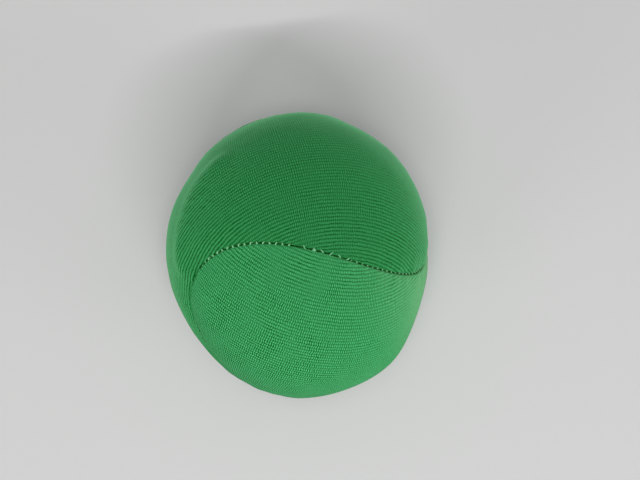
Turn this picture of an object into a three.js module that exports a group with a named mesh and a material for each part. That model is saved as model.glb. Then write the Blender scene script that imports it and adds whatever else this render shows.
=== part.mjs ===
// A soft fabric ball: two peanut-shaped panels of stretch knit, sewn edge to edge along one
// winding seam, turned out, filled with fine grain through a gap and closed by hand.
// Millimetres. +Z is up from the surface that the ball lies on, +Y is its longer way.
import * as THREE from 'three';

// The filled ball as it lies
const ballWidth = 64.6;
const ballLength = 69.3;
const ballHeight = 61;
const baseSettle = 3; // taken off the bottom, where the grain has settled flat

// Flats (inward) and bulges (outward) of the grain under the cover:
// degrees round from +X, degrees up, millimetres outward, degrees of spread
const lumps = [
  { round: 65, up: 6, out: -0.6, spread: 9 },
  { round: 144, up: 4, out: -0.7, spread: 9 },
  { round: 219, up: 2, out: -1.5, spread: 28 },
  { round: 310, up: -4, out: 1.2, spread: 16 },
  { round: 348, up: 0, out: -1.1, spread: 34 },
];

// Course of the seam: how far it swings, and how the cover is turned on the ball, in degrees
const seamSwing = 0.242;
const coverRoll = 111.1;
const coverTilt = 4.9;
const coverYaw = 73.3;

// Cloth and seam
const clothThickness = 0.6;
const foldRadius = 1.1; // outside of the fold where a panel turns in
const allowanceDepth = 4.5; // from the outside of the cover to the raw edge
const seamGap = 0.3; // between the two turned-in edges
const seamDip = 0.5; // the seam draws the cover in
const seamDipReach = 4; // to each side of the seam

// Machine stitches
const threadDiameter = 0.3;
const stitchPitch = 1.5;
const stitchSwing = 0.25; // to each side of the seam
const stitchSlant = 0.6; // along the seam, of each crossing
const threadClearance = 0.2;

// Hand stitches over the filling gap
const closingTurn = 97; // middle of the gap, degrees along the seam's course
const closingLength = 13;
const closingDiameter = 0.4;
const closingPitch = 2.1;
const closingSwing = 0.3;
const closingSlant = 0.5;
const knotDiameter = 0.9;

// Grain filling
const fillingClearance = 0.3;

// Fineness of the facets
const stepsPerEighth = 12; // along an eighth of the seam
const panelColumns = 8;
const fillingColumns = 4;
const foldSteps = 2;
const threadSides = 4;
const courseSamples = 720;

// Worked out from the sizes above
const seamSteps = 8 * stepsPerEighth;
const halfHeight = (ballHeight + baseSettle) / 2;
const middleHeight = ballHeight - halfHeight;
const middle = new THREE.Vector3(0, 0, middleHeight);
const halfGap = seamGap / 2;
const foldReach = halfGap + foldRadius; // from the middle of the seam to the start of the fold
const innerFoldRadius = foldRadius - clothThickness;
const rearTip = 5 * stepsPerEighth; // where the end of each panel lies on the seam
const frontTip = 3 * stepsPerEighth;
const coverTurn = new THREE.Quaternion().setFromEuler(new THREE.Euler(
  THREE.MathUtils.degToRad(coverRoll),
  THREE.MathUtils.degToRad(coverTilt),
  THREE.MathUtils.degToRad(coverYaw),
  'ZYX',
));

// Direction of the seam from the middle of the ball
function seamDirection(turn) {
  const wide = 1 - seamSwing;
  const rise = 2 * Math.sqrt(wide * seamSwing);
  return new THREE.Vector3(
    wide * Math.cos(turn) + seamSwing * Math.cos(3 * turn),
    wide * Math.sin(turn) - seamSwing * Math.sin(3 * turn),
    rise * Math.sin(2 * turn),
  ).normalize().applyQuaternion(coverTurn);
}

const courseDirections = [];
for (let i = 0; i < courseSamples; i += 1) {
  courseDirections.push(seamDirection((2 * Math.PI * i) / courseSamples));
}

function angleToSeam(direction) {
  const nearest = courseDirections.reduce((best, spot) => Math.max(best, spot.dot(direction)), -1);
  return Math.acos(Math.min(1, nearest));
}

const lumpDirections = lumps.map(({ round, up }) => {
  const turn = THREE.MathUtils.degToRad(round);
  const rise = THREE.MathUtils.degToRad(up);
  const level = Math.cos(rise);
  return new THREE.Vector3(level * Math.cos(turn), level * Math.sin(turn), Math.sin(rise));
});

// Distance from the middle of the ball to the outside of the cover
function coverRadius(direction) {
  let radius = 1 / Math.hypot(
    direction.x / (ballWidth / 2),
    direction.y / (ballLength / 2),
    direction.z / halfHeight,
  );
  lumps.forEach(({ out, spread }, i) => {
    const away = THREE.MathUtils.radToDeg(direction.angleTo(lumpDirections[i]));
    radius += out * Math.exp(-((away / spread) ** 2));
  });
  if (direction.z < 0) radius = Math.min(radius, -middleHeight / direction.z);
  const share = (angleToSeam(direction) * radius) / seamDipReach;
  if (share < 1) radius -= seamDip * (1 - share ** 2) ** 2;
  return radius;
}

function coverPoint(direction, depth) {
  return direction.clone().multiplyScalar(coverRadius(direction) - depth).add(middle);
}

// The seam at one turn: outward direction, direction across it into the front panel, radius
function seamFrame(turn) {
  const nudge = 1e-4;
  const up = seamDirection(turn);
  const along = seamDirection(turn + nudge).sub(seamDirection(turn - nudge));
  const across = up.clone().cross(along).normalize();
  return { up, across, radius: coverRadius(up) };
}

// A point beside the seam: across from its middle, and below the outside of the cover
function seamPoint({ up, across, radius }, sideways, depth) {
  return up.clone().multiplyScalar(radius - depth).addScaledVector(across, sideways).add(middle);
}

const seamFrames = [];
for (let i = 0; i < seamSteps; i += 1) {
  seamFrames.push(seamFrame((2 * Math.PI * i) / seamSteps));
}

// Directions of a panel's edge, where its fold starts; side is 1 for the front, -1 for the rear
function edgeDirections(side) {
  return seamFrames.map(({ up, across, radius }) => (
    up.clone().addScaledVector(across, (side * foldReach) / radius).normalize()
  ));
}

// A closed mesh under construction; turned triangles run the other way round
class Skin {
  constructor() {
    this.points = [];
    this.triangles = [];
  }

  point(p) {
    this.points.push(p.x, p.y, p.z);
    return this.points.length / 3 - 1;
  }

  triangle(a, b, c, turned) {
    this.triangles.push(a, turned ? c : b, turned ? b : c);
  }

  // A band between two closed rings with as many points each
  band(ring, next, turned) {
    ring.forEach((a, i) => {
      const j = (i + 1) % ring.length;
      this.triangle(a, ring[j], next[j], turned);
      this.triangle(a, next[j], next[i], turned);
    });
  }

  // The face of a panel: rows across it join the two sides of its edge, from tip to tip
  face(ring, directions, depth, tip, columns, turned) {
    const rows = [];
    for (let k = 0; k <= seamSteps / 2; k += 1) {
      const left = (tip - k + seamSteps) % seamSteps;
      const right = (tip + k) % seamSteps;
      const row = [ring[left]];
      const angle = directions[left].angleTo(directions[right]);
      for (let j = 1; j < columns && left !== right; j += 1) {
        const share = j / columns;
        const spot = directions[left].clone().multiplyScalar(Math.sin((1 - share) * angle));
        spot.addScaledVector(directions[right], Math.sin(share * angle)).normalize();
        row.push(this.point(coverPoint(spot, depth)));
      }
      if (left !== right) row.push(ring[right]);
      rows.push(row);
    }
    for (let k = 1; k < rows.length; k += 1) {
      const [above, below] = [rows[k - 1], rows[k]];
      for (let j = 0; j < columns; j += 1) {
        const [a, b] = [above[j] ?? above[0], above[j + 1] ?? above[0]]; // a tip is a row of one point
        const [c, d] = [below[j] ?? below[0], below[j + 1] ?? below[0]];
        if (a !== b) this.triangle(a, c, b, turned);
        if (c !== d) this.triangle(b, c, d, turned);
      }
    }
  }

  geometry() {
    const geometry = new THREE.BufferGeometry();
    geometry.setAttribute('position', new THREE.Float32BufferAttribute(this.points, 3));
    geometry.setIndex(this.triangles);
    geometry.computeVertexNormals();
    return geometry;
  }
}

// One panel: its outer face folds in at the seam and runs down to the raw edge,
// and the inner face follows it one thickness inside
function panelGeometry(tip, side) {
  const skin = new Skin();
  const directions = edgeDirections(side);
  const rimRing = (depth) => directions.map((d) => skin.point(coverPoint(d, depth)));
  const seamRing = (sideways, depth) => (
    seamFrames.map((frame) => skin.point(seamPoint(frame, side * sideways, depth)))
  );
  const foldRing = (radius, step) => {
    const angle = ((Math.PI / 2) * step) / foldSteps;
    return seamRing(foldReach - radius * Math.sin(angle), foldRadius - radius * Math.cos(angle));
  };
  const rings = [rimRing(0)];
  for (let step = 1; step <= foldSteps; step += 1) rings.push(foldRing(foldRadius, step));
  rings.push(seamRing(halfGap, allowanceDepth));
  rings.push(seamRing(halfGap + clothThickness, allowanceDepth));
  for (let step = foldSteps; step >= 1; step -= 1) rings.push(foldRing(innerFoldRadius, step));
  rings.push(rimRing(clothThickness));
  const turned = side < 0;
  for (let i = 1; i < rings.length; i += 1) skin.band(rings[i - 1], rings[i], !turned);
  skin.face(rings[0], directions, 0, tip, panelColumns, !turned);
  skin.face(rings.at(-1), directions, clothThickness, tip, panelColumns, turned);
  return skin.geometry();
}

// The grain takes the shape of the cover from inside, with a trench for the turned-in edges
function fillingGeometry() {
  const skin = new Skin();
  const topDepth = clothThickness + fillingClearance;
  const wall = halfGap + clothThickness + fillingClearance;
  const rings = (side) => {
    const directions = edgeDirections(side);
    const trench = [foldRadius, allowanceDepth + fillingClearance].map((depth) => (
      seamFrames.map((frame) => skin.point(seamPoint(frame, side * wall, depth)))
    ));
    return { directions, list: [directions.map((d) => skin.point(coverPoint(d, topDepth))), ...trench] };
  };
  const front = rings(1);
  const rear = rings(-1);
  const list = [...front.list, ...rear.list.reverse()];
  for (let i = 1; i < list.length; i += 1) skin.band(list[i - 1], list[i], true);
  skin.face(list[0], front.directions, topDepth, frontTip, fillingColumns, true);
  skin.face(list.at(-1), rear.directions, topDepth, rearTip, fillingColumns, false);
  return skin.geometry();
}

// Length along the seam, to place the stitches evenly
const courseLengths = [0];
for (let i = 1; i <= courseSamples; i += 1) {
  const before = coverPoint(courseDirections[i - 1], 0);
  const here = coverPoint(courseDirections[i % courseSamples], 0);
  courseLengths.push(courseLengths[i - 1] + before.distanceTo(here));
}
const seamLength = courseLengths[courseSamples];

function turnAtLength(length) {
  const wrapped = THREE.MathUtils.euclideanModulo(length, seamLength);
  const i = courseLengths.findIndex((reached) => reached > wrapped);
  const share = (wrapped - courseLengths[i - 1]) / (courseLengths[i] - courseLengths[i - 1]);
  return (2 * Math.PI * (i - 1 + share)) / courseSamples;
}

// Height over the cover at which a round thing rests in the valley between the two folds
function heightInValley(radius, sideways) {
  const apart = foldRadius + radius + threadClearance;
  return Math.sqrt(apart ** 2 - (foldReach - sideways) ** 2) - foldRadius;
}

// Spots of a thread that crosses the seam back and forth, from one length along it to another
function stitchSpots(start, end, pitch, swing, slant, radius) {
  const spots = [];
  const count = Math.floor((end - start - slant) / pitch);
  const height = heightInValley(radius, swing);
  for (let i = 0; i <= count; i += 1) {
    const side = i % 2 ? -1 : 1;
    const centre = start + slant / 2 + i * pitch;
    spots.push({ length: centre - slant / 2, sideways: -side * swing, height, radius });
    spots.push({ length: centre + slant / 2, sideways: side * swing, height, radius });
  }
  return spots;
}

// A thread through its spots, as one tube closed at both ends
function threadGeometry(spots) {
  const skin = new Skin();
  const frames = spots.map(({ length }) => seamFrame(turnAtLength(length)));
  const path = spots.map(({ sideways, height }, i) => seamPoint(frames[i], sideways, -height));
  const rings = path.map((centre, i) => {
    const along = path[Math.min(i + 1, path.length - 1)].clone().sub(path[Math.max(i - 1, 0)]).normalize();
    const beside = along.clone().cross(frames[i].up).normalize();
    const over = beside.clone().cross(along);
    return Array.from({ length: threadSides }, (_, k) => {
      const angle = (2 * Math.PI * (k + 0.5)) / threadSides;
      const p = centre.clone().addScaledVector(beside, spots[i].radius * Math.cos(angle));
      return skin.point(p.addScaledVector(over, spots[i].radius * Math.sin(angle)));
    });
  });
  for (let i = 1; i < rings.length; i += 1) skin.band(rings[i - 1], rings[i], true);
  const [first, last] = [skin.point(path[0]), skin.point(path.at(-1))];
  for (let k = 0; k < threadSides; k += 1) {
    const next = (k + 1) % threadSides;
    skin.triangle(first, rings[0][next], rings[0][k], true);
    skin.triangle(last, rings.at(-1)[k], rings.at(-1)[next], true);
  }
  return { geometry: skin.geometry(), path };
}

// Least gap between stretches of a thread that aren't next to each other
function leastGap(path, diameter) {
  let least = Infinity;
  for (let i = 0; i + 3 < path.length; i += 1) {
    const far = path.slice(i + 3);
    least = Math.min(least, ...far.map((p) => p.distanceTo(path[i])));
  }
  return least - diameter;
}

const closingMiddle = courseLengths[Math.round((closingTurn / 360) * courseSamples)];
const closingStart = closingMiddle - closingLength / 2;
const closingEnd = closingMiddle + closingLength / 2;

function seamThread() {
  const start = closingEnd + stitchPitch / 2;
  const end = closingStart + seamLength - stitchPitch / 2;
  const spots = stitchSpots(start, end, stitchPitch, stitchSwing, stitchSlant, threadDiameter / 2);
  return threadGeometry(spots);
}

// Rings of the knot, as shares of its radius from its middle
const knotRings = [-0.8, -0.3, 0.3, 0.8];

// Hand stitches, tied off in a knot that lies in the valley
function closingThread() {
  const radius = closingDiameter / 2;
  const knotRadius = knotDiameter / 2;
  const lastStitch = closingEnd - knotDiameter - closingPitch;
  const spots = stitchSpots(closingStart, lastStitch, closingPitch, closingSwing, closingSlant, radius);
  const knotMiddle = closingEnd - knotRadius;
  const height = heightInValley(knotRadius, 0);
  knotRings.forEach((share) => {
    const girth = knotRadius * Math.sqrt(1 - share ** 2);
    spots.push({ length: knotMiddle + share * knotRadius, sideways: 0, height, radius: girth });
  });
  return threadGeometry(spots);
}

function clothMaterial(color) {
  return new THREE.MeshStandardMaterial({ color, roughness: 0.85, metalness: 0 });
}

const ball = new THREE.Group();

function addPiece(name, geometry, material) {
  const mesh = new THREE.Mesh(geometry, material);
  mesh.name = name;
  ball.add(mesh);
}

const machine = seamThread();
const hand = closingThread();
const handStitches = hand.path.slice(0, -knotRings.length);
addPiece('front_panel', panelGeometry(frontTip, 1), clothMaterial(0x38934f));
addPiece('rear_panel', panelGeometry(rearTip, -1), clothMaterial(0x2a7742));
addPiece('seam_thread', machine.geometry, clothMaterial(0x63a877));
addPiece('closing_thread', hand.geometry, clothMaterial(0x74b386));
addPiece('grain_filling', fillingGeometry(), clothMaterial(0xc9ad72));
console.log(`seam_thread least gap to itself ${leastGap(machine.path, threadDiameter).toFixed(2)} mm`);
console.log(`closing_thread least gap to itself ${leastGap(handStitches, closingDiameter).toFixed(2)} mm`);

// The outline is a little lopsided, so the ball is set over the middle of its own box
const box = new THREE.Box3().setFromObject(ball);
const centre = box.getCenter(new THREE.Vector3());
ball.position.set(-centre.x, -centre.y, 0);

export default ball;
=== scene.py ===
import math
from functools import partial

import bpy
import numpy as np
from mathutils import Euler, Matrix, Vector
from mathutils.kdtree import KDTree


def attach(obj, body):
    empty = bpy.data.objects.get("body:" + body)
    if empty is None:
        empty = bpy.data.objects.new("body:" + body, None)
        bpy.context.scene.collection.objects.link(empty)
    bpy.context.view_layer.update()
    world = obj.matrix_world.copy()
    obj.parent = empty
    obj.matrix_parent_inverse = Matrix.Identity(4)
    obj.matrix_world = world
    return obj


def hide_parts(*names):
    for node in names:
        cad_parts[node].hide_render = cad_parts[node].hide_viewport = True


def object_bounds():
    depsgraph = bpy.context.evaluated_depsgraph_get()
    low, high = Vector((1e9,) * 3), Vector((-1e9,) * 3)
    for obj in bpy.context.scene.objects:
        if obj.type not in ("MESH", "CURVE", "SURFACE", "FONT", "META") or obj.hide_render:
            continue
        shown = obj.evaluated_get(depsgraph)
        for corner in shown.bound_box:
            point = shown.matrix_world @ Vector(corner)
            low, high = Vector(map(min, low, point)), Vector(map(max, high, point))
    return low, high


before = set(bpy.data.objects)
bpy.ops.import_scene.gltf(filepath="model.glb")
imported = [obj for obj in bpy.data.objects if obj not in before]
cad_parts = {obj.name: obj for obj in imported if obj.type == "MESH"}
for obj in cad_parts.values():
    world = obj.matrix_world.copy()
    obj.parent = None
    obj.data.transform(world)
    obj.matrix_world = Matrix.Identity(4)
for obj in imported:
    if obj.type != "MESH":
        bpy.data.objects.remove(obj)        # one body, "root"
cadLow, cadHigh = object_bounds()
print("frame loaded:", sorted(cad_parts))

mm = 0.001


# the filled ball as it lies: an ellipsoid with soft flats and bulges, settled on its base
ball = {
    "width": 64.6 * mm,
    "length": 69.3 * mm,
    "height": 61 * mm,
    "settle": 3 * mm,          # taken off the bottom
    "baseRound": 0.8 * mm,     # softness of the edge round the base
    "lumps": [                 # degrees round from +X, degrees up, outward, degrees of spread
        (65, 6, -0.6 * mm, 9),
        (144, 4, -0.7 * mm, 9),
        (219, 2, -1.5 * mm, 28),
        (310, -4, 1.2 * mm, 16),
        (348, 0, -1.1 * mm, 34),
    ],
    "creases": [               # soft ridges: degrees round from and to, degrees up, outward, spread
        (126, 188, 31, 1.05 * mm, 4.5),
        (-36, -6, 27, 0.2 * mm, 4),
    ],
    "creaseEnds": 8,           # degrees in which a ridge runs out
    "unevenDepth": 0.05 * mm,  # the grain under the cloth
    "unevenWaves": 26,
    "unevenFineness": 14,
    "unevenSeed": 4,
}
halfHeight = (ball["height"] + ball["settle"]) / 2
middleHeight = ball["height"] - halfHeight

# the seam's course over the ball, and how the cloth lies beside it
seam = {
    "swing": 0.242,                # 0 is a plain circle
    "turnXYZ": (111.1, 4.9, 73.3),  # degrees
    "dip": 0.5 * mm,
    "dipReach": 4 * mm,
    "fold": 0.7 * mm,              # radius of the turned-in edge
    "halfGap": 0.03 * mm,          # at a stitch
    "eyelet": 0.11 * mm,           # more than that between stitches
    "pinch": 0.1 * mm,             # how much lower the cloth is at a stitch than between two
    "pinchRise": 0.4,              # share of that by which it rises between them
    "pinchReach": 1.1 * mm,
    "pucker": 0.1 * mm,            # slow waves beside the seam
    "puckerWaves": [               # waves round the seam, strength, shift by the panel's side, start
        (41, 1, 1, 0),
        (67, 0.8, 2, 1),
        (97, 0.6, 3, 0),
    ],
    "puckerSum": 1.5,              # about what the waves add up to
    "puckerReach": 2.6 * mm,
    "overlap": 0.15 * mm,          # the front panel rises and the rear one drops on a stretch
    "overlapReach": 2 * mm,
    "overlapTurns": (60, 186),     # degrees along the course
    "overlapEnds": 6,              # degrees in which it runs out
    "pitch": 1.5 * mm,
    "courseSteps": 2880,
}


def unit(v):
    return v / np.linalg.norm(v, axis=-1, keepdims=True)


coverTurn = np.array(Euler([math.radians(a) for a in seam["turnXYZ"]], "XYZ").to_matrix())


# the closed curve between two equal panels
def seamDirection(turn):
    swing = seam["swing"]
    wide = 1 - swing
    rise = 2 * math.sqrt(wide * swing)
    x = wide * np.cos(turn) + swing * np.cos(3 * turn)
    y = wide * np.sin(turn) - swing * np.sin(3 * turn)
    z = rise * np.sin(2 * turn)
    return unit(np.stack([x, y, z], -1)) @ coverTurn.T


courseTurns = np.linspace(0, 2 * np.pi, seam["courseSteps"], endpoint=False)
courseDirections = seamDirection(courseTurns)


# angle to the seam, and which step of its course is nearest
def nearestSeam(directions):
    atOnce = 6000        # keeps the table of angles small
    angles, steps = [], []
    for part in np.array_split(directions, max(1, len(directions) // atOnce)):
        closeness = part @ courseDirections.T
        step = closeness.argmax(1)
        angles.append(np.arccos(np.clip(closeness[np.arange(len(part)), step], -1, 1)))
        steps.append(step)
    return np.concatenate(angles), np.concatenate(steps)


# from degrees round and degrees up
def directionAt(turn, rise):
    turn, rise = math.radians(turn), math.radians(rise)
    return np.array([math.cos(rise) * math.cos(turn), math.cos(rise) * math.sin(turn), math.sin(rise)])


# directions spread evenly over a sphere
def evenSpread(count):
    k = np.arange(count) + 0.5
    z = 1 - 2 * k / count
    turn = math.pi * (1 + math.sqrt(5)) * k
    level = np.sqrt(1 - z * z)
    return np.stack([level * np.cos(turn), level * np.sin(turn), z], -1)


def softLeast(a, b, softness):
    return -softness * np.logaddexp(-a / softness, -b / softness)


# 1 inside plus or minus a half width, 0 outside, with soft ends
def softWindow(value, half, softness):
    return 1 / (1 + np.exp(np.clip((np.abs(value) - half) / softness * 4, -40, 40)))


# distance from the ball's middle to the outside of the cover
def coverRadius(directions):
    halves = np.array([ball["width"] / 2, ball["length"] / 2, halfHeight])
    radius = 1 / np.linalg.norm(directions / halves, axis=1)
    for turn, rise, out, spread in ball["lumps"]:
        away = np.degrees(np.arccos(np.clip(directions @ directionAt(turn, rise), -1, 1)))
        radius += out * np.exp(-(away / spread) ** 2)
    rise = np.degrees(np.arcsin(np.clip(directions[:, 2], -1, 1)))
    turn = np.degrees(np.arctan2(directions[:, 1], directions[:, 0]))
    for start, end, up, out, spread in ball["creases"]:
        fromMiddle = (turn - (start + end) / 2 + 180) % 360 - 180
        along = softWindow(fromMiddle, (end - start) / 2, ball["creaseEnds"])
        radius += out * np.exp(-((rise - up) / spread) ** 2) * along
    down = np.minimum(directions[:, 2], -1e-3)
    settled = softLeast(radius, -middleHeight / down, ball["baseRound"])
    radius = np.where(directions[:, 2] < 0, settled, radius)
    share = np.clip(nearestSeam(directions)[0] * radius / seam["dipReach"], 0, 1)
    return radius - seam["dip"] * (1 - share ** 2) ** 2


# low waves from the grain, the same on both panels
wavePick = np.random.default_rng(ball["unevenSeed"])
waveRows = wavePick.normal(0, ball["unevenFineness"], (ball["unevenWaves"], 3))
wavePhase = wavePick.uniform(0, 2 * np.pi, ball["unevenWaves"])


def unevenness(directions):
    waves = np.cos(directions @ waveRows.T + wavePhase).sum(1)
    return ball["unevenDepth"] * waves * math.sqrt(2 / ball["unevenWaves"])


# set over the middle of the CAD box, as the CAD ball is
def restingMiddle():
    samples = 40000
    spread = evenSpread(samples)
    points = spread * coverRadius(spread)[:, None]
    low, high = points.min(0), points.max(0)
    boxMiddle = (cadLow + cadHigh) / 2
    return np.array([boxMiddle.x, boxMiddle.y, 0]) - np.append((low + high)[:2] / 2, -middleHeight)


middle = restingMiddle()

# length along the seam
coursePoints = courseDirections * coverRadius(courseDirections)[:, None]
courseStepLengths = np.linalg.norm(np.roll(coursePoints, -1, 0) - coursePoints, axis=1)
courseLengths = np.concatenate([[0], np.cumsum(courseStepLengths)])
seamLength = courseLengths[-1]
stitchCount = round(seamLength / seam["pitch"])
stitchPitch = seamLength / stitchCount
print(f"seam {seamLength / mm:.1f} mm, {stitchCount} stitches")


def turnAtLength(lengths):
    return np.interp(np.mod(lengths, seamLength), courseLengths, np.append(courseTurns, 2 * np.pi))


def lengthAtTurn(turns):
    return np.interp(np.mod(turns, 2 * np.pi), np.append(courseTurns, 2 * np.pi), courseLengths)


# outward and sideways directions along the seam; sideways points into the front panel
def seamFrames(turns):
    nudge = 1e-4
    up = seamDirection(turns)
    along = seamDirection(turns + nudge) - seamDirection(turns - nudge)
    across = unit(np.cross(up, along))
    return up, across, coverRadius(up)


# 1 at a stitch, 0 halfway between two
def stitchPinch(lengths):
    return (0.5 + 0.5 * np.cos(2 * np.pi * lengths / stitchPitch)) ** 2


# how far stitches and slow waves move the cloth out, near the seam
def pucker(away, lengths, side):
    pinched = seam["pinchRise"] - stitchPinch(lengths)
    pinch = seam["pinch"] * pinched * np.exp(-away / seam["pinchReach"])
    start, end = seam["overlapTurns"]
    fromMiddle = np.degrees(turnAtLength(lengths)) - (start + end) / 2
    riding = softWindow(fromMiddle, (end - start) / 2, seam["overlapEnds"])
    overlap = side * seam["overlap"] * riding * np.exp(-(away / seam["overlapReach"]) ** 2)
    turn = 2 * np.pi * lengths / seamLength
    slow = 0
    for waves, strength, bySide, begin in seam["puckerWaves"]:
        slow = slow + strength * np.sin(waves * turn + bySide * side + begin)
    waving = seam["pucker"] * slow / seam["puckerSum"] * np.exp(-(away / seam["puckerReach"]) ** 2)
    return pinch + overlap + waving


def selectOnly(piece):
    bpy.ops.object.select_all(action="DESELECT")
    piece.select_set(True)
    bpy.context.view_layer.objects.active = piece


def addObject(name, data):
    piece = bpy.data.objects.new(name, data)
    bpy.context.scene.collection.objects.link(piece)
    return piece


def readPoints(mesh):
    flat = np.zeros(len(mesh.vertices) * 3)
    mesh.vertices.foreach_get("co", flat)
    return flat.reshape(-1, 3)


def writePoints(mesh, points):
    mesh.vertices.foreach_set("co", points.astype(np.float32).ravel())
    mesh.update()


# cloth panels
panel = {
    "thickness": 0.6 * mm,
    "foldSteps": 5,
    "allowance": [1.5 * mm, 3.4 * mm],                   # depths of the turned-in edge
    "allowanceGap": 0.015 * mm,                          # from there to the seam's middle
    "bands": [0.35 * mm, 0.8 * mm, 1.4 * mm, 2.2 * mm],  # fine rows beside the fold
    "inner": 3.2 * mm,                                   # where the coarser face starts
    "seamSteps": 1344,
    "coarser": 4,                                        # fine steps to one of that face
    "columns": 40,
    "tipSteps": 5,                                       # steps of the edge closed off at each tip
    "seamShadePower": 5,                                      # more keeps the painted shade deeper in the fold
    "grainTurn": 10,                                     # degrees between ribs and panel's length
    "openBeside": 0.2,                                   # how far ribs are drawn open by the seam
    "openReach": 9 * mm,
    "openSides": 25 * mm,                                # the rear ones are fully open this far out
    "ribRadius": 33 * mm,                                # turns angles into lengths of cloth
    "flatCut": (60 * mm, 176 * mm),
    "flatArea": 7300 * mm * mm,
}


# ribs run along the panel's length: metres along and across them
def clothCoordinates(directions, side):
    pole = unit(coverTurn @ np.array([1, side, 0]))
    heart = coverTurn @ np.array([0, 0, side])
    ahead = np.cross(pole, heart)
    across = np.arcsin(np.clip(directions @ pole, -1, 1))
    along = np.arctan2(directions @ ahead, directions @ heart)
    turn = math.radians(panel["grainTurn"])
    u = along * math.cos(turn) + across * math.sin(turn)
    v = across * math.cos(turn) - along * math.sin(turn)
    return np.stack([u, v], -1) * panel["ribRadius"]


# how far the ribs are drawn open: a little beside the seam, and more on the rear panel's left and right
def ribOpening(points, away, side):
    beside = panel["openBeside"] * np.exp(-(away / panel["openReach"]) ** 2)
    outer = (points[:, 0] * min(side, 0) / panel["openSides"]) ** 2
    return np.minimum(1, beside + outer)


def ringFaces(ring, following, flip):
    a, b = np.array(ring), np.array(following)
    quads = np.stack([a, np.roll(a, -1), np.roll(b, -1), b], -1)
    return [tuple(q[::-1] if flip else q) for q in quads.tolist()]


# each long edge of the coarse ring takes several short edges of the fine one
def stepDownFaces(fine, coarse, share, flip):
    faces = []
    for k in range(len(coarse)):
        following = coarse[(k + 1) % len(coarse)]
        run = [fine[(k * share + j) % len(fine)] for j in range(share + 1)]
        half = share // 2
        for j in range(share):
            faces.append((run[j], run[j + 1], coarse[k] if j < half else following))
        faces.append((run[half], following, coarse[k]))
    return [f[::-1] for f in faces] if flip else faces


# rows across the panel join the two sides of its edge, from near one tip to near the other
def faceRows(directions, tip, columns, tipSteps):
    steps = len(directions)
    share = np.arange(1, columns) / columns
    rows = []
    for k in range(tipSteps, steps // 2 - tipSteps + 1):
        left, right = (tip - k) % steps, (tip + k) % steps
        a, b = directions[left], directions[right]
        angle = math.acos(max(-1, min(1, float(a @ b))))
        row = np.outer(np.sin((1 - share) * angle), a) + np.outer(np.sin(share * angle), b)
        rows.append((left, right, unit(row)))
    return rows


# triangles between two runs of points that share their ends
def tipFaces(edgeRun, row, flip):
    faces = []
    i = j = 0
    while i < len(edgeRun) - 1 or j < len(row) - 1:
        edgeShare = (i + 1) / (len(edgeRun) - 1)
        rowShare = (j + 1) / (len(row) - 1)
        if j >= len(row) - 1 or (i < len(edgeRun) - 1 and edgeShare <= rowShare):
            face = (edgeRun[i], row[j], edgeRun[i + 1])
            i += 1
        else:
            face = (edgeRun[i], row[j], row[j + 1])
            j += 1
        if len(set(face)) == 3:
            faces.append(face[::-1] if flip else face)
    return faces


def rowFaces(above, below, flip):
    faces = []
    for j in range(len(above) - 1):
        face = (above[j], below[j], below[j + 1], above[j + 1])
        faces.append(face[::-1] if flip else face)
    return faces


# the seam in the steps of a panel's edge, and how far the fold reaches from the seam's middle
def makeSeamEdge():
    steps = panel["seamSteps"]
    turns = 2 * np.pi * np.arange(steps) / steps
    up, across, radius = seamFrames(turns)
    lengths = lengthAtTurn(turns)
    pinch = stitchPinch(lengths)
    reach = seam["halfGap"] + seam["eyelet"] * (1 - pinch) + seam["fold"]
    return {"up": up, "across": across, "radius": radius, "lengths": lengths, "pinch": pinch, "reach": reach}


seamEdge = makeSeamEdge()


# directions beside the seam, towards one panel
def besideSeam(side, offset):
    return unit(seamEdge["up"] + seamEdge["across"] * (side * offset / seamEdge["radius"])[:, None])


# points under the cover along the seam, to one side of its middle
def underSeam(side, depth, sideways):
    inward = seamEdge["up"] * (seamEdge["radius"] - depth)[:, None]
    return inward + seamEdge["across"] * (side * sideways)[:, None]


def onCover(directions, away, lengths, side):
    out = coverRadius(directions) + unevenness(directions) + pucker(away, lengths, side)
    return directions * out[:, None]


# adds points to a panel's form, with what its material reads there, and gives back their numbers
def addPoints(form, points, directions, seamShade, away):
    start = sum(len(p) for p in form["points"])
    form["points"].append(points)
    form["cloth"].append(clothCoordinates(directions, form["side"]))
    form["seamShade"].append(np.full(len(points), seamShade))      # painted shade: 1 deep in the seam
    form["opening"].append(ribOpening(points, away, form["side"]))
    return list(range(start, start + len(points)))


# from the raw edge up to the fold
def addTurnedEdge(form):
    side, steps = form["side"], panel["seamSteps"]
    reach, fold = seamEdge["reach"], seam["fold"]
    rings = []
    for depth in reversed(panel["allowance"]):
        points = underSeam(side, depth, np.full(steps, panel["allowanceGap"]))
        hidden = reach - fold * math.pi / 2 - (depth - fold)
        rings.append(addPoints(form, points, besideSeam(side, hidden), 1, 0))
    lift = pucker(np.zeros(steps), seamEdge["lengths"], side) + unevenness(seamEdge["up"])
    for k in range(panel["foldSteps"], 0, -1):
        angle = math.pi / 2 * k / panel["foldSteps"]
        points = underSeam(side, fold * (1 - math.cos(angle)) - lift, reach - fold * math.sin(angle))
        # painted shade: the turned-in edge is marked fully, and the mark fades out round the fold towards
        # the face
        seamShade = math.sin(angle) ** panel["seamShadePower"]
        rings.append(addPoints(form, points, besideSeam(side, reach - fold * angle), seamShade, 0))
    return rings


# rows of the face beside the fold
def addBands(form):
    rings = []
    for offset in [0, *panel["bands"]]:
        directions = besideSeam(form["side"], seamEdge["reach"] + offset)
        away = np.full(len(directions), offset)
        points = onCover(directions, away, seamEdge["lengths"], form["side"])
        rings.append(addPoints(form, points, directions, 0, offset))
    return rings


# where the face gets coarser
def addInner(form):
    coarse = slice(0, panel["seamSteps"], panel["coarser"])
    directions = besideSeam(form["side"], seamEdge["reach"] + panel["inner"])[coarse]
    away = np.full(len(directions), panel["inner"])
    points = onCover(directions, away, seamEdge["lengths"][coarse], form["side"])
    return addPoints(form, points, directions, 0, panel["inner"]), directions


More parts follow.
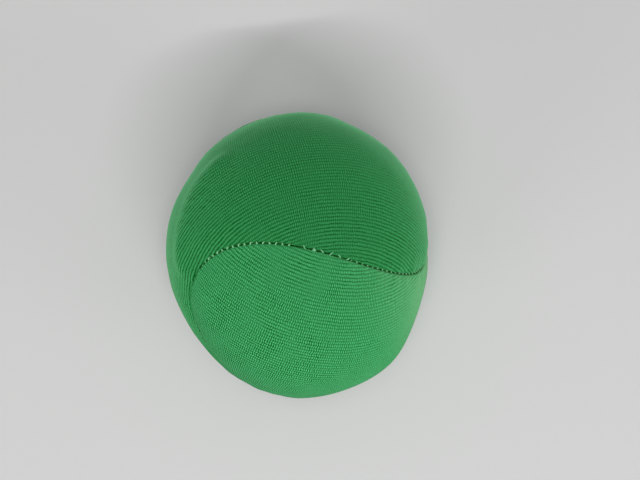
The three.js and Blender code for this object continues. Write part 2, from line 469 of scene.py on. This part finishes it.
# the rest of the face, in rows across it, and its two tips
def addFace(form, edge, edgeDirections, tipShare):
    side, tip = form["side"], round(tipShare * len(edge))
    rows = []
    for left, right, directions in faceRows(edgeDirections, tip, panel["columns"], panel["tipSteps"]):
        angles, nearest = nearestSeam(directions)
        away = angles * panel["ribRadius"] - seam["fold"]
        points = onCover(directions, away, courseLengths[nearest], side)
        rows.append([edge[left], *addPoints(form, points, directions, 0, away), edge[right]])
    faces = []
    for above, below in zip(rows, rows[1:]):
        faces += rowFaces(above, below, side > 0)
    tipRun = range(-panel["tipSteps"], panel["tipSteps"] + 1)
    farTip = tip + len(edge) // 2
    near = [edge[(tip + k) % len(edge)] for k in tipRun]
    far = [edge[(farTip - k) % len(edge)] for k in tipRun]
    faces += tipFaces(near, rows[0], side > 0)
    faces += tipFaces(far, rows[-1], side < 0)
    return faces


def clothPiece(name, form, faces):
    mesh = bpy.data.meshes.new(name)
    mesh.from_pydata((np.concatenate(form["points"]) + middle).tolist(), [], faces)
    layer = mesh.uv_layers.new(name="cloth")
    corners = np.zeros(len(mesh.loops), np.int32)
    mesh.loops.foreach_get("vertex_index", corners)
    layer.data.foreach_set("uv", np.concatenate(form["cloth"])[corners].astype(np.float32).ravel())
    for label in ("seamShade", "opening"):
        attribute = mesh.attributes.new(label, "FLOAT", "POINT")
        attribute.data.foreach_set("value", np.concatenate(form[label]).astype(np.float32))
    mesh.update()
    return addObject(name, mesh)


# the grain presses the cloth out between the stitches that hold it
swelling = {
    "pressure": 10,
    "pointMass": 0.0001,
    "stretch": 0.05,
    "shear": 0.025,
    "bend": 0.0005,
    "damping": 0.0005,
    "bendDamping": 0.00005,
    "quality": 5,
    "frames": 10,
    "holdLevels": 10,          # how finely the hold of a stitch fades
    "cap": 0.3 * mm,           # no spot moves farther
}


def setCloth(cloth):
    settings = cloth.settings
    settings.quality = swelling["quality"]
    settings.mass = swelling["pointMass"]
    settings.tension_stiffness = settings.compression_stiffness = swelling["stretch"]
    settings.shear_stiffness = swelling["shear"]
    settings.bending_stiffness = swelling["bend"]
    settings.tension_damping = settings.compression_damping = swelling["damping"]
    settings.shear_damping = swelling["damping"]
    settings.bending_damping = swelling["bendDamping"]
    settings.vertex_group_mass = "sewn"
    settings.use_pressure = True
    settings.uniform_pressure_force = swelling["pressure"]
    settings.effector_weights.gravity = 0
    cloth.collision_settings.use_collision = False
    cloth.point_cache.frame_end = swelling["frames"]


def swell(piece, holding):
    start = readPoints(piece.data)
    group = piece.vertex_groups.new(name="sewn")
    levels = swelling["holdLevels"]
    for level in range(1, levels + 1):
        held = np.nonzero(np.round(holding * levels) == level)[0]
        group.add(held.tolist(), level / levels, "REPLACE")
    selectOnly(piece)
    bpy.ops.object.modifier_add(type="CLOTH")
    cloth = piece.modifiers[-1]
    setCloth(cloth)
    for step in range(1, swelling["frames"] + 1):
        bpy.context.scene.frame_set(step)
    moved = readPoints(piece.evaluated_get(bpy.context.evaluated_depsgraph_get()).data) - start
    bpy.ops.object.modifier_remove(modifier=cloth.name)
    bpy.context.scene.frame_set(1)
    far = np.linalg.norm(moved, axis=1)
    print(f"{piece.name} swells by {np.percentile(far, 95) / mm:.2f} mm")
    moved *= np.minimum(1, swelling["cap"] / np.maximum(far, 1e-9))[:, None]
    writePoints(piece.data, start + moved)
    piece.vertex_groups.clear()


def addThickness(piece, thickness):
    selectOnly(piece)
    bpy.ops.object.modifier_add(type="SOLIDIFY")
    solidify = piece.modifiers[-1]
    solidify.thickness = thickness
    solidify.offset = -1
    solidify.use_rim = True
    bpy.ops.object.modifier_apply(modifier=solidify.name)
    bpy.ops.object.shade_smooth()


# side is 1 for the front panel and -1 for the rear one; tipShare is where along the course its tip is
def makePanel(name, side, tipShare):
    form = {"side": side, "points": [], "cloth": [], "seamShade": [], "opening": []}
    rings = addTurnedEdge(form) + addBands(form)
    inner, innerDirections = addInner(form)
    faces = []
    for ring, following in zip(rings, rings[1:]):
        faces += ringFaces(ring, following, side < 0)
    faces += stepDownFaces(rings[-1], inner, panel["coarser"], side < 0)
    faces += addFace(form, inner, innerDirections, tipShare)
    piece = clothPiece(name, form, faces)

    # the turned-in edge is held all along, and the fold at its stitches
    holding = np.zeros(len(piece.data.vertices))
    edgeRings = len(panel["allowance"]) + 1
    for k, ring in enumerate(rings[:edgeRings + panel["foldSteps"]]):
        holding[ring] = 1 if k < edgeRings else seamEdge["pinch"]
    swell(piece, holding)
    rested = readPoints(piece.data)
    rested[:, 2] = np.maximum(rested[:, 2], 0)     # the floor stops the cloth
    writePoints(piece.data, rested)
    addThickness(piece, panel["thickness"])
    return piece


frontPanel = makePanel("frontPanel", 1, 3 / 8)
rearPanel = makePanel("rearPanel", -1, 5 / 8)
print("panels made:", len(frontPanel.data.polygons), len(rearPanel.data.polygons))

# threads: each stitch comes up through one fold, crosses the valley and goes down the other
stitch = {
    "tilt": 0.06 * mm,              # its ends lean out by this along the seam
    "splay": 0.1 * mm,              # and by this across it
    "shoulder": 0.2 * mm,           # from its crown down to its sides
    "crownShare": 0.4,              # how much of its reach the crown takes
    "endHeight": -0.8 * mm,
    "runHeight": -1.2 * mm,         # on the way to the next stitch
    "runIn": 0.05 * mm,
    "tail": 0.3 * mm,               # past the last stitch
}
closing = {
    "from": 90.25, "to": 103.75,    # degrees along the seam's course
    "pitch": 2.1 * mm,
    "radius": 0.16 * mm,
    "reach": 0.3 * mm,
    "aside": -0.14 * mm,            # more on the rear panel
    "crown": -0.04 * mm,
    "slant": 0.26 * mm,
    "wander": 0.13 * mm,
    "seed": 11,
    "knot": 0.1 * mm,
    "knotSteps": 40,
    "knotFlat": 0.8,                # its width for its length
    "knotUp": 0.12 * mm,
    "knotBack": 4.4 * mm,           # from the left end of the gap
    "colour": (0.2, 0.62, 0.3),
}
machine = {
    "radius": 0.155 * mm,
    "reach": 0.21 * mm,
    "aside": 0,
    "crown": -0.02 * mm,            # where the stitches are loose
    "sunk": -0.52 * mm,             # elsewhere
    "loose": (104, 131),            # degrees along the course
    "looseEnds": 3,                 # degrees in which they get tight
    "slant": 0.12 * mm,
    "colour": (0.3, 0.8, 0.4),
}


def seamPlace(lengths, sideways, height):
    up, across, radius = seamFrames(turnAtLength(lengths))
    return up * (radius + height)[:, None] + across * sideways[:, None] + middle


# wander shifts and widens each stitch
def stitchPath(centres, row, wander, crowns):
    rows = []
    for k, centre in enumerate(centres):
        side = 1 if k % 2 else -1
        run = (centres[k + 1] - centre) / 2 if k + 1 < len(centres) else stitch["tail"]
        shift, widen = wander[k]
        reach = row["reach"] + widen
        start, end = centre - row["slant"], centre + row["slant"]
        endReach = side * (reach + stitch["splay"])
        crownReach = side * reach * stitch["crownShare"]
        shoulder = crowns[k] - stitch["shoulder"]
        rows += [
            (start - stitch["tilt"], endReach, stitch["endHeight"]),
            (start + shift, side * reach, shoulder),
            (centre + shift / 2, crownReach, crowns[k]),
            (centre - shift / 2, -crownReach, crowns[k]),
            (end - shift, -side * reach, shoulder),
            (end + stitch["tilt"], -endReach, stitch["endHeight"]),
            (centre + run, -side * (reach - stitch["runIn"]), stitch["runHeight"]),
        ]
    lengths, sideways, height = np.array(rows).T
    return seamPlace(lengths, sideways + row["aside"], height)


def threadFromPaths(name, paths, radius):
    curve = bpy.data.curves.new(name, "CURVE")
    curve.dimensions = "3D"
    curve.bevel_depth = radius
    curve.bevel_resolution = 1
    curve.resolution_u = 2
    curve.use_fill_caps = True
    for path in paths:
        spline = curve.splines.new("NURBS")
        spline.points.add(len(path) - 1)
        spline.points.foreach_set("co", np.column_stack([path, np.ones(len(path))]).ravel())
        spline.order_u = 3
        spline.use_endpoint_u = True
    piece = addObject(name, curve)
    selectOnly(piece)
    bpy.ops.object.convert(target="MESH")
    bpy.ops.object.shade_smooth()
    return piece


closingStart, closingEnd = lengthAtTurn(np.radians([closing["from"], closing["to"]]))


# from one end of the hand-sewn gap round to the other
def makeSeamThread():
    centres = np.arange(stitchCount) * stitchPitch
    before = centres < closingStart
    centres = np.roll(centres[before | (centres > closingEnd)], -int(before.sum()))
    centres[centres < closingStart] += seamLength
    looseFrom, looseTo = machine["loose"]
    fromLoose = np.degrees(turnAtLength(centres)) - (looseFrom + looseTo) / 2
    looseness = softWindow(fromLoose, (looseTo - looseFrom) / 2, machine["looseEnds"])
    crowns = machine["sunk"] + (machine["crown"] - machine["sunk"]) * looseness
    path = stitchPath(centres, machine, np.zeros((len(centres), 2)), crowns)
    return threadFromPaths("seamThread", [path], machine["radius"])


# a small overhand knot where the hand thread is tied off
def knotPath(length, size):
    t = np.linspace(0, 2 * np.pi, closing["knotSteps"], endpoint=False)
    along = np.sin(t) + 2 * np.sin(2 * t)
    sideways = np.cos(t) - 2 * np.cos(2 * t)
    height = -np.sin(3 * t)
    return seamPlace(
        length + along * size, sideways * size * closing["knotFlat"], height * size + closing["knotUp"])


def makeClosingThread():
    handPick = np.random.default_rng(closing["seed"])
    centres = np.arange(closingStart, closingEnd - closing["pitch"] / 2, closing["pitch"])
    wander = handPick.uniform(-1, 1, (len(centres), 2)) * closing["wander"]
    stitches = stitchPath(centres, closing, wander, np.full(len(centres), closing["crown"]))
    knot = knotPath(closingEnd - closing["knotBack"], closing["knot"])
    return threadFromPaths("closingThread", [stitches, knot], closing["radius"])


seamThread = makeSeamThread()
closingThread = makeClosingThread()
print("threads made:", len(seamThread.data.polygons), len(closingThread.data.polygons))

# loose grain inside, with a trench for the turned-in edges
grain = {
    "clearance": 0.4 * mm,
    "kernel": 1.25 * mm,
    "kernelEdge": 0.05,          # keeps the gaps between kernels shallow
    "kernels": 3400,
    "trench": 3.6 * mm,
    "trenchReach": 2.6 * mm,
    "subdivisions": 7,
    "pale": (0.62, 0.46, 0.2),
    "husk": (0.34, 0.22, 0.08),
    "huskShare": 0.8,
    "speckle": 480,              # fineness of the colour
    "finish": {"Roughness": 0.55},
}


def makeFilling():
    bpy.ops.object.select_all(action="DESELECT")
    bpy.ops.mesh.primitive_ico_sphere_add(subdivisions=grain["subdivisions"], radius=1)
    piece = bpy.context.active_object
    piece.name = piece.data.name = "grainFilling"
    directions = unit(readPoints(piece.data))
    tree = KDTree(grain["kernels"])
    for i, spot in enumerate(evenSpread(grain["kernels"])):
        tree.insert(spot, i)
    tree.balance()
    radius = coverRadius(directions)
    away = np.array([tree.find(d)[2] for d in directions]) * radius
    kernel = grain["kernel"]
    dome = kernel - np.sqrt(np.maximum(kernel ** 2 - away ** 2, grain["kernelEdge"] * kernel ** 2))
    fromSeam = nearestSeam(directions)[0] * radius
    trench = grain["trench"] * np.sqrt(np.clip(1 - fromSeam / grain["trenchReach"], 0, 1))
    depth = panel["thickness"] + grain["clearance"] + dome + trench
    writePoints(piece.data, directions * (radius - depth)[:, None] + middle)
    selectOnly(piece)
    bpy.ops.object.shade_smooth()
    return piece


grainFilling = makeFilling()
print("filling made")


# materials

# links another socket, or sets a number, a place or a colour
def feed(tree, socket, value):
    if isinstance(value, bpy.types.NodeSocket):
        tree.links.new(value, socket)
    elif socket.type == "RGBA":
        socket.default_value = (*value, 1)
    else:
        socket.default_value = value


def newMaterial(name, finish):
    material = bpy.data.materials.new(name)
    material.use_nodes = True
    tree = material.node_tree
    shader = tree.nodes["Principled BSDF"]
    for label, value in finish.items():
        feed(tree, shader.inputs[label], value)
    return material, tree, shader


def newGroup(name, inputs, outputs):
    group = bpy.data.node_groups.new(name, "ShaderNodeTree")
    for way, sockets in (("INPUT", inputs), ("OUTPUT", outputs)):
        for label, kind in sockets.items():
            group.interface.new_socket(label, in_out=way, socket_type="NodeSocket" + kind)
    given = group.nodes.new("NodeGroupInput").outputs
    result = group.nodes.new("NodeGroupOutput").inputs
    return group, given, result


def placeGroup(tree, group, values):
    node = tree.nodes.new("ShaderNodeGroup")
    node.node_tree = group
    for label, value in values.items():
        feed(tree, node.inputs[label], value)
    return node.outputs


def mathNode(tree, operation, *values):
    node = tree.nodes.new("ShaderNodeMath")
    node.operation = operation
    for socket, value in zip(node.inputs, values):
        feed(tree, socket, value)
    return node.outputs[0]


def vectorNode(tree, operation, *values):
    node = tree.nodes.new("ShaderNodeVectorMath")
    node.operation = operation
    for socket, value in zip(node.inputs, values):
        feed(tree, socket, value)
    return node.outputs["Value" if operation == "DOT_PRODUCT" else "Vector"]


def mixColours(tree, blend, share, first, second):
    node = tree.nodes.new("ShaderNodeMix")
    node.data_type = "RGBA"
    node.blend_type = blend
    for number, value in ((0, share), (6, first), (7, second)):    # the Mix node's colour sockets
        feed(tree, node.inputs[number], value)
    return node.outputs[2]


def noiseNode(tree, place, fineness, detail):
    node = tree.nodes.new("ShaderNodeTexNoise")
    node.inputs["Scale"].default_value = fineness
    node.inputs["Detail"].default_value = detail
    tree.links.new(place, node.inputs["Vector"])
    return node.outputs["Fac"]


def attributeNode(tree, name):
    node = tree.nodes.new("ShaderNodeAttribute")
    node.attribute_name = name
    return node.outputs["Fac"]


def objectPlace(tree):
    return tree.nodes.new("ShaderNodeTexCoord").outputs["Object"]


def addBump(tree, shader, height, strength, distance):
    bump = tree.nodes.new("ShaderNodeBump")
    bump.inputs["Strength"].default_value = strength
    bump.inputs["Distance"].default_value = distance
    tree.links.new(height, bump.inputs["Height"])
    tree.links.new(bump.outputs[0], shader.inputs["Normal"])


# the cloth; a noise is its fineness, detail and amount
knit = {
    "rib": 0.84 * mm,
    "loop": 0.54 * mm,
    "lean": 0.35,
    "contrast": 0.66,
    "clearTowards": (-0.6, -0.8, 0),  # the knit shows more on this side
    "clearMore": 0.5,
    "ribSway": [(380, 2, 0.5), (1300, 1, 0.6)],
    "loopSway": (900, 1, 0.8),
    "loopPatches": (170, 2, 2.4),     # loops plainer in places
    "loopShare": 0.75,
    "loopOpened": 0.35,               # less where the ribs are drawn open
    "gapMean": 0.33,                  # taken off, so that the gaps leave the mean tone as it is
    "gapPatches": (140, 2, 2),        # gaps darker in places
    "gapShare": 0.65,
    "gapOpened": 0.75,                # more where the ribs are drawn open
    "loopHeight": 0.2,                # share of a rib's height
    "bump": 0.09 * mm,
    "bumpStrength": 1,
    "dark": (0, 0.35, 0.05),          # shares of the colour in the gaps, partly painted shade between the ribs, and, paler, on the loops, partly a painted highlight on the yarn
    "light": (2, 1.65, 1.95),
    "seamShadeColour": (0, 0.55, 0.05),        # and deep in the seam: painted shade of the fold
    "finish": {
        "Roughness": 0.8,
        "Diffuse Roughness": 1,
        "Specular IOR Level": 0.05,
        "Sheen Weight": 0.06,
        "Sheen Roughness": 0.45,
        "Sheen Tint": (0.45, 1, 0.6),
    },
}
# one cloth laid two ways: its colour face on is painted lighter on the front panel and darker on the rear as
# nap shading, and a painted sheen lifts and tints it where it is seen aslant, some of it evenly and more
# where the surface looks towards one side, less where it looks away
frontNapPaintedLight = {
    "colour": (0.0405, 0.3, 0.097),
    "lift": 0.5,
    "tint": (0.25, 0.17, 0.18),
    "power": 1.0,
    "towards": (0.707, 0.707, 0),
    "evenly": 0.04,
    "leaning": 0.78,
}
rearNapPaintedLight = {
    "colour": (0.0235, 0.215, 0.0595),
    "lift": 0.9,
    "tint": (0.13, 0.165, 0.15),
    "power": 3.5,
    "towards": (0, 1, 0),
    "evenly": 0.68,
    "leaning": 0.95,
}


# rows of knitted loops on the cloth's own map: height, and how light each spot is
def knitGroup():
    inputs = {"Cloth": "Vector"}
    inputs.update(dict.fromkeys(("Rib", "Loop", "Lean", "Contrast", "Opening"), "Float"))
    group, given, result = newGroup("knitRows", inputs, {"Height": "Float", "Tone": "Float"})
    calc = partial(mathNode, group)
    parts = group.nodes.new("ShaderNodeSeparateXYZ")
    group.links.new(given["Cloth"], parts.inputs[0])

    def yarnNoise(fineness, detail, amount):
        noise = noiseNode(group, given["Cloth"], fineness, detail)
        return calc("MULTIPLY", calc("SUBTRACT", noise, 0.5), amount)

    # ribs of uneven yarn, each leaning the other way from the next
    slowSway, fineSway = [yarnNoise(*noise) for noise in knit["ribSway"]]
    ribs = calc("DIVIDE", parts.outputs[1], given["Rib"])
    ribs = calc("ADD", ribs, calc("ADD", slowSway, fineSway))
    inRib = calc("SUBTRACT", calc("FRACT", ribs), 0.5)
    fromRib = calc("MULTIPLY", calc("ABSOLUTE", inRib), 2)
    fromRibSquare = calc("POWER", fromRib, 2)
    crown = calc("SUBTRACT", 1, fromRibSquare)
    everyOther = calc("PINGPONG", calc("FLOOR", ribs), 1)
    turned = calc("SUBTRACT", calc("MULTIPLY", everyOther, 2), 1)
    lean = calc("MULTIPLY", calc("MULTIPLY", inRib, turned), given["Lean"])

    # loops along each rib
    loops = calc("ADD", calc("DIVIDE", parts.outputs[0], given["Loop"]), lean)
    loops = calc("ADD", loops, yarnNoise(*knit["loopSway"]))
    wave = calc("COSINE", calc("MULTIPLY", loops, 2 * math.pi))
    patches = calc("ADD", yarnNoise(*knit["loopPatches"]), 1)
    stroke = calc("MULTIPLY", calc("MULTIPLY", wave, crown), patches)
    loopShare = calc("SUBTRACT", knit["loopShare"], calc("MULTIPLY", given["Opening"], knit["loopOpened"]))

    # dark gaps between the ribs, partly painted shade
    opened = calc("ADD", yarnNoise(*knit["gapPatches"]), knit["gapShare"])
    opened = calc("ADD", opened, calc("MULTIPLY", given["Opening"], knit["gapOpened"]))
    gaps = calc("MULTIPLY", calc("SUBTRACT", fromRibSquare, knit["gapMean"]), opened)

    tone = calc("SUBTRACT", calc("MULTIPLY", stroke, loopShare), gaps)
    tone = calc("ADD", calc("MULTIPLY", tone, given["Contrast"]), 0.5)
    clamp = group.nodes.new("ShaderNodeClamp")
    group.links.new(tone, clamp.inputs[0])
    group.links.new(clamp.outputs[0], result["Tone"])
    yarn = calc("ADD", calc("MULTIPLY", wave, knit["loopHeight"]), 1 - knit["loopHeight"])
    group.links.new(calc("MULTIPLY", crown, yarn), result["Height"])
    return group


# colour of the cloth: its loops, with a painted sheen where it is seen aslant, painted lighter towards one
# side and darker away from it, and painted shade where it is tucked into the seam
def napPaintedLightGroup():
    inputs = dict.fromkeys(("Tone", "Facing", "SeamShade", "Lift", "Power", "Evenly", "Leaning"), "Float")
    inputs.update(dict.fromkeys(("Place", "Middle", "Towards"), "Vector"))
    inputs.update(dict.fromkeys(("Dark", "Light", "Tint"), "Color"))
    group, given, result = newGroup("napColourPaintedLight", inputs, {"Colour": "Color"})
    calc = partial(mathNode, group)
    # painted light and shade: lighter where the surface looks towards one side, darker where it looks away
    fromMiddle = vectorNode(group, "SUBTRACT", given["Place"], given["Middle"])
    outward = vectorNode(group, "NORMALIZE", fromMiddle)
    turned = vectorNode(group, "DOT_PRODUCT", outward, given["Towards"])
    amount = calc("ADD", calc("MULTIPLY", turned, given["Leaning"]), given["Evenly"])
    # painted sheen: it grows where the surface is seen aslant, and there is none of it in the seam's painted
    # shade
    along = calc("MULTIPLY", calc("POWER", given["Facing"], given["Power"]), amount)
    along = calc("MULTIPLY", along, calc("SUBTRACT", 1, given["SeamShade"]))
    lift = calc("ADD", calc("MULTIPLY", along, given["Lift"]), 1)
    grey = group.nodes.new("ShaderNodeCombineColor")
    for socket in grey.inputs:
        group.links.new(lift, socket)
    colour = mixColours(group, "MIX", given["Tone"], given["Dark"], given["Light"])
    colour = mixColours(group, "MULTIPLY", 1.0, colour, grey.outputs[0])
    # painted shade deep in the seam
    colour = mixColours(group, "MULTIPLY", given["SeamShade"], colour, knit["seamShadeColour"])
    colour = mixColours(group, "ADD", along, colour, given["Tint"])
    group.links.new(colour, result["Colour"])
    return group


knitRows = knitGroup()
napColourPaintedLight = napPaintedLightGroup()


def shareOf(colour, shares):
    return [c * share for c, share in zip(colour, shares)]


def knitMaterial(name, nap):
    material, tree, shader = newMaterial(name, knit["finish"])
    cloth = tree.nodes.new("ShaderNodeUVMap")
    cloth.uv_map = "cloth"
    place = objectPlace(tree)
    clearer = [c * knit["clearMore"] / panel["ribRadius"] for c in knit["clearTowards"]]
    clearness = mathNode(tree, "ADD", vectorNode(tree, "DOT_PRODUCT", place, clearer), 1)
    rows = placeGroup(tree, knitRows, {
        "Cloth": cloth.outputs[0],
        "Rib": knit["rib"],
        "Loop": knit["loop"],
        "Lean": knit["lean"],
        "Contrast": mathNode(tree, "MULTIPLY", clearness, knit["contrast"]),
        "Opening": attributeNode(tree, "opening"),
    })
    # painted sheen: the facing lifts and tints the colour where the cloth is seen aslant
    facing = tree.nodes.new("ShaderNodeLayerWeight")
    colourWithPaintedLight = placeGroup(tree, napColourPaintedLight, {
        "Tone": rows["Tone"],
        "Facing": facing.outputs["Facing"],
        "SeamShade": attributeNode(tree, "seamShade"),
        "Place": place,
        "Middle": middle,
        "Dark": shareOf(nap["colour"], knit["dark"]),
        "Light": shareOf(nap["colour"], knit["light"]),
        **{label: nap[label.lower()] for label in ("Lift", "Tint", "Power", "Towards", "Evenly", "Leaning")},
    })
    feed(tree, shader.inputs["Base Color"], colourWithPaintedLight["Colour"])
    addBump(tree, shader, rows["Height"], knit["bumpStrength"], knit["bump"])
    return material


# both threads
thread = {
    "fibre": 5200,               # fineness
    "fibreDetail": 2,
    "shade": (0.7, 0.7, 0.7),    # share of the colour between fibres
    "bump": 0.03 * mm,
    "bumpStrength": 0.5,
    "finish": {"Roughness": 0.7, "Specular IOR Level": 0.15},
}


# fine fibres of a thread: colour and height
def fibreGroup():
    group, given, result = newGroup(
        "threadFibres", {"Place": "Vector", "Colour": "Color"}, {"Colour": "Color", "Height": "Float"})
    fibre = noiseNode(group, given["Place"], thread["fibre"], thread["fibreDetail"])
    dark = mixColours(group, "MULTIPLY", 1.0, given["Colour"], thread["shade"])
    group.links.new(mixColours(group, "MIX", fibre, dark, given["Colour"]), result["Colour"])
    group.links.new(fibre, result["Height"])
    return group


threadFibres = fibreGroup()


def threadMaterial(name, colour):
    material, tree, shader = newMaterial(name, thread["finish"])
    fibres = placeGroup(tree, threadFibres, {"Place": objectPlace(tree), "Colour": colour})
    feed(tree, shader.inputs["Base Color"], fibres["Colour"])
    addBump(tree, shader, fibres["Height"], thread["bumpStrength"], thread["bump"])
    return material


def grainMaterial():
    material, tree, shader = newMaterial("paleGrain", grain["finish"])
    kernels = tree.nodes.new("ShaderNodeTexVoronoi")
    kernels.inputs["Scale"].default_value = grain["speckle"]
    tree.links.new(objectPlace(tree), kernels.inputs["Vector"])
    husk = mathNode(tree, "MULTIPLY", kernels.outputs["Distance"], grain["huskShare"])
    feed(tree, shader.inputs["Base Color"], mixColours(tree, "MIX", husk, grain["pale"], grain["husk"]))
    return material


def finish(piece, material, node, slot):
    piece.data.materials.clear()
    piece.data.materials.append(material)
    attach(piece, "root")
    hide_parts(node)


finish(frontPanel, knitMaterial("frontKnit", frontNapPaintedLight), "front_panel", "front_cloth")
finish(rearPanel, knitMaterial("rearKnit", rearNapPaintedLight), "rear_panel", "rear_cloth")
finish(seamThread, threadMaterial("sewingThread", machine["colour"]), "seam_thread", "seam_thread")
finish(closingThread, threadMaterial("handThread", closing["colour"]), "closing_thread", "closing_thread")
finish(grainFilling, grainMaterial(), "grain_filling", "grain")
print("materials set")

# floor, light and camera
stage = {
    "floorSize": 6,
    "floorDrop": 0.1 * mm,
    "floorColours": [(0.565, 0.566, 0.564), (0.578, 0.579, 0.577)],
    "floorClouds": 6,
    "floorDetail": 2,
    "floorFinish": {"Roughness": 0.6, "Specular IOR Level": 0.2},
    "skyColour": (1, 1, 1),
    "skyStrength": 0.25,
    "skyTilt": 0.35,                  # brighter behind the ball than in front of it
    "background": 0.75,               # what the camera sees past the floor
    "lamps": [                        # name, degrees from +X, degrees up, away, size, power
        ("longLamp", -83, 59.5, 0.8, (0.52, 0.02), 2.9),
        ("ceiling", 0, 90, 3, (1.1, 1.1), 32),
        ("fill", -25, 24, 2.5, (1, 1), 7.5),
        ("fill", 222, 24, 2.5, (1, 1), 10),
    ],
    "pixel": 0.2426 * mm,             # at the height of the ball's outline
    "frameWidth": 640,
    "ballPixel": (297.5, 255),        # middle of the ball's box in the 640 by 480 frame
    "frameMiddle": (320, 240),
    "cameraAway": 0.42,               # from the outline up to the camera
    "sensor": 36,
}


def floorMaterial():
    material, tree, shader = newMaterial("paleFloor", stage["floorFinish"])
    cloud = noiseNode(tree, objectPlace(tree), stage["floorClouds"], stage["floorDetail"])
    feed(tree, shader.inputs["Base Color"], mixColours(tree, "MIX", cloud, *stage["floorColours"]))
    return material


def makeFloor():
    bpy.ops.object.select_all(action="DESELECT")
    bpy.ops.mesh.primitive_plane_add(size=stage["floorSize"], location=(0, 0, -stage["floorDrop"]))
    floor = bpy.context.active_object
    floor.name = "floor"
    bpy.ops.object.transform_apply(location=True, rotation=True, scale=True)
    floor.data.materials.append(floorMaterial())


# soft light from all round, and a plain background for the camera
def makeRoom():
    world = bpy.data.worlds.new("paleRoom")
    world.use_nodes = True
    tree = world.node_tree
    sky = tree.nodes["Background"]
    feed(tree, sky.inputs["Color"], stage["skyColour"])
    looking = tree.nodes.new("ShaderNodeTexCoord")
    parts = tree.nodes.new("ShaderNodeSeparateXYZ")
    tree.links.new(looking.outputs["Generated"], parts.inputs[0])
    tilt = mathNode(tree, "MULTIPLY", parts.outputs[1], stage["skyTilt"])
    strength = mathNode(tree, "MULTIPLY", mathNode(tree, "ADD", tilt, 1), stage["skyStrength"])
    path = tree.nodes.new("ShaderNodeLightPath")
    seen = tree.nodes.new("ShaderNodeMix")
    for number, value in ((0, path.outputs["Is Camera Ray"]), (2, strength), (3, stage["background"])):
        feed(tree, seen.inputs[number], value)
    feed(tree, sky.inputs["Strength"], seen.outputs[0])
    bpy.context.scene.world = world


# an area lamp that looks at the ball from a turn round it and a rise above the floor
def addLamp(name, turn, rise, away, size, power):
    direction = Vector(directionAt(turn, rise))
    data = bpy.data.lights.new(name, "AREA")
    data.shape = "RECTANGLE"
    data.size, data.size_y = size
    data.energy = power
    lamp = addObject(name, data)
    lamp.location = direction * away
    lamp.rotation_euler = direction.to_track_quat("Z", "Y").to_euler()


# straight above, with the ball as far from the middle of the frame as in the photograph
def addCamera():
    pixel = stage["pixel"]
    across = (stage["frameMiddle"][0] - stage["ballPixel"][0]) * pixel
    upward = (stage["ballPixel"][1] - stage["frameMiddle"][1]) * pixel
    data = bpy.data.cameras.new("above")
    data.sensor_width = stage["sensor"]
    data.lens = stage["sensor"] * stage["cameraAway"] / (stage["frameWidth"] * pixel)
    camera = addObject("above", data)
    camera.location = (across, upward, middleHeight + stage["cameraAway"])
    bpy.context.scene.camera = camera


makeFloor()
makeRoom()
for lamp in stage["lamps"]:
    addLamp(*lamp)
addCamera()
bpy.context.scene.view_settings.view_transform = "Standard"
print("stage set")
